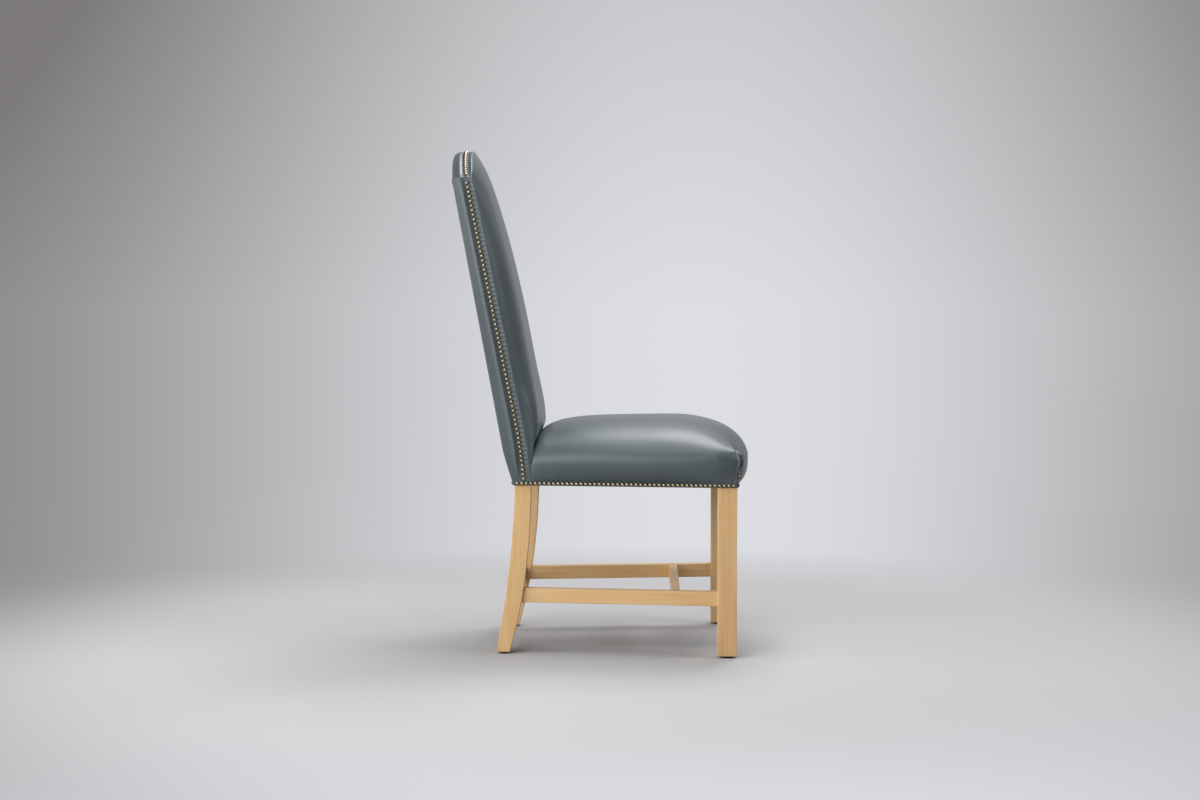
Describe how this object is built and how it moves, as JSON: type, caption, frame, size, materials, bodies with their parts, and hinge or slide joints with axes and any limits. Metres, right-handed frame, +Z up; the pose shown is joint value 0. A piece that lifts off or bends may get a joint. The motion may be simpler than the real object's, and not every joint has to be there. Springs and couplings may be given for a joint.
{
  "type": "parsons chair",
  "caption": "Dining chair with a tall raked, arched back and a crowned seat in nailed slate leather, on square front legs, sabre rear legs and four stretchers.",
  "frame": {"origin": "on the floor, under the middle of the chair's overall width and depth", "axes": "+Z up; -Y is the front, where the sitter's knees are; +X is the sitter's left"},
  "size_m": [0.4996, 0.6314, 1.0581],
  "materials": {
    "lacquered_beech": "solid beech, clear satin lacquer",
    "frame_beech": "sawn beech, unfinished, hidden by the upholstery",
    "slate_leather": "smooth slate blue leather, semi-gloss",
    "antique_brass": "antiqued domed nail heads",
    "screw_steel": "zinc-plated wood screws",
    "padding_foam": "upholstery foam",
    "jute_web": "woven webbing",
    "black_cambric": "woven dust cloth",
    "black_nylon": "moulded glide"
  },
  "bodies": {
    "root": {"front_seat_rail": "frame_beech", "rear_seat_rail": "frame_beech", "lower_back_rail": "frame_beech", "cross_stretcher": "lacquered_beech", "rear_stretcher": "lacquered_beech", "right_seat_rail": "frame_beech", "right_stretcher": "lacquered_beech", "front_right_corner_block": "frame_beech", "front_right_block_screw": "screw_steel", "rear_right_corner_block": "frame_beech", "rear_right_block_screw": "screw_steel", "right_front_leg": "lacquered_beech", "right_front_glide": "black_nylon", "right_rear_post": "lacquered_beech", "right_rear_glide": "black_nylon", "left_seat_rail": "frame_beech", "left_stretcher": "lacquered_beech", "front_left_corner_block": "frame_beech", "front_left_block_screw": "screw_steel", "rear_left_corner_block": "frame_beech", "rear_left_block_screw": "screw_steel", "left_front_leg": "lacquered_beech", "left_front_glide": "black_nylon", "left_rear_post": "lacquered_beech", "left_rear_glide": "black_nylon", "crest_rail": "frame_beech", "seat_web_lengthwise_right": "jute_web", "seat_web_lengthwise_middle": "jute_web", "seat_web_lengthwise_left": "jute_web", "seat_web_crosswise_front": "jute_web", "seat_web_crosswise_middle": "jute_web", "seat_web_crosswise_rear": "jute_web", "back_web_lower": "jute_web", "back_web_middle": "jute_web", "back_web_upper": "jute_web", "dust_cover": "black_cambric", "seat_cover": "slate_leather", "seat_foam": "padding_foam", "inside_back_cover": "slate_leather", "outside_back_cover": "slate_leather", "back_foam": "padding_foam", "seat_nails_right": "antique_brass", "back_nails_right": "antique_brass", "corner_nails_right": "antique_brass", "seat_nails_left": "antique_brass", "back_nails_left": "antique_brass", "corner_nails_left": "antique_brass", "seat_nails_front": "antique_brass", "back_nails_base": "antique_brass", "back_nails_arch": "antique_brass"}
  },
  "joints": []
}
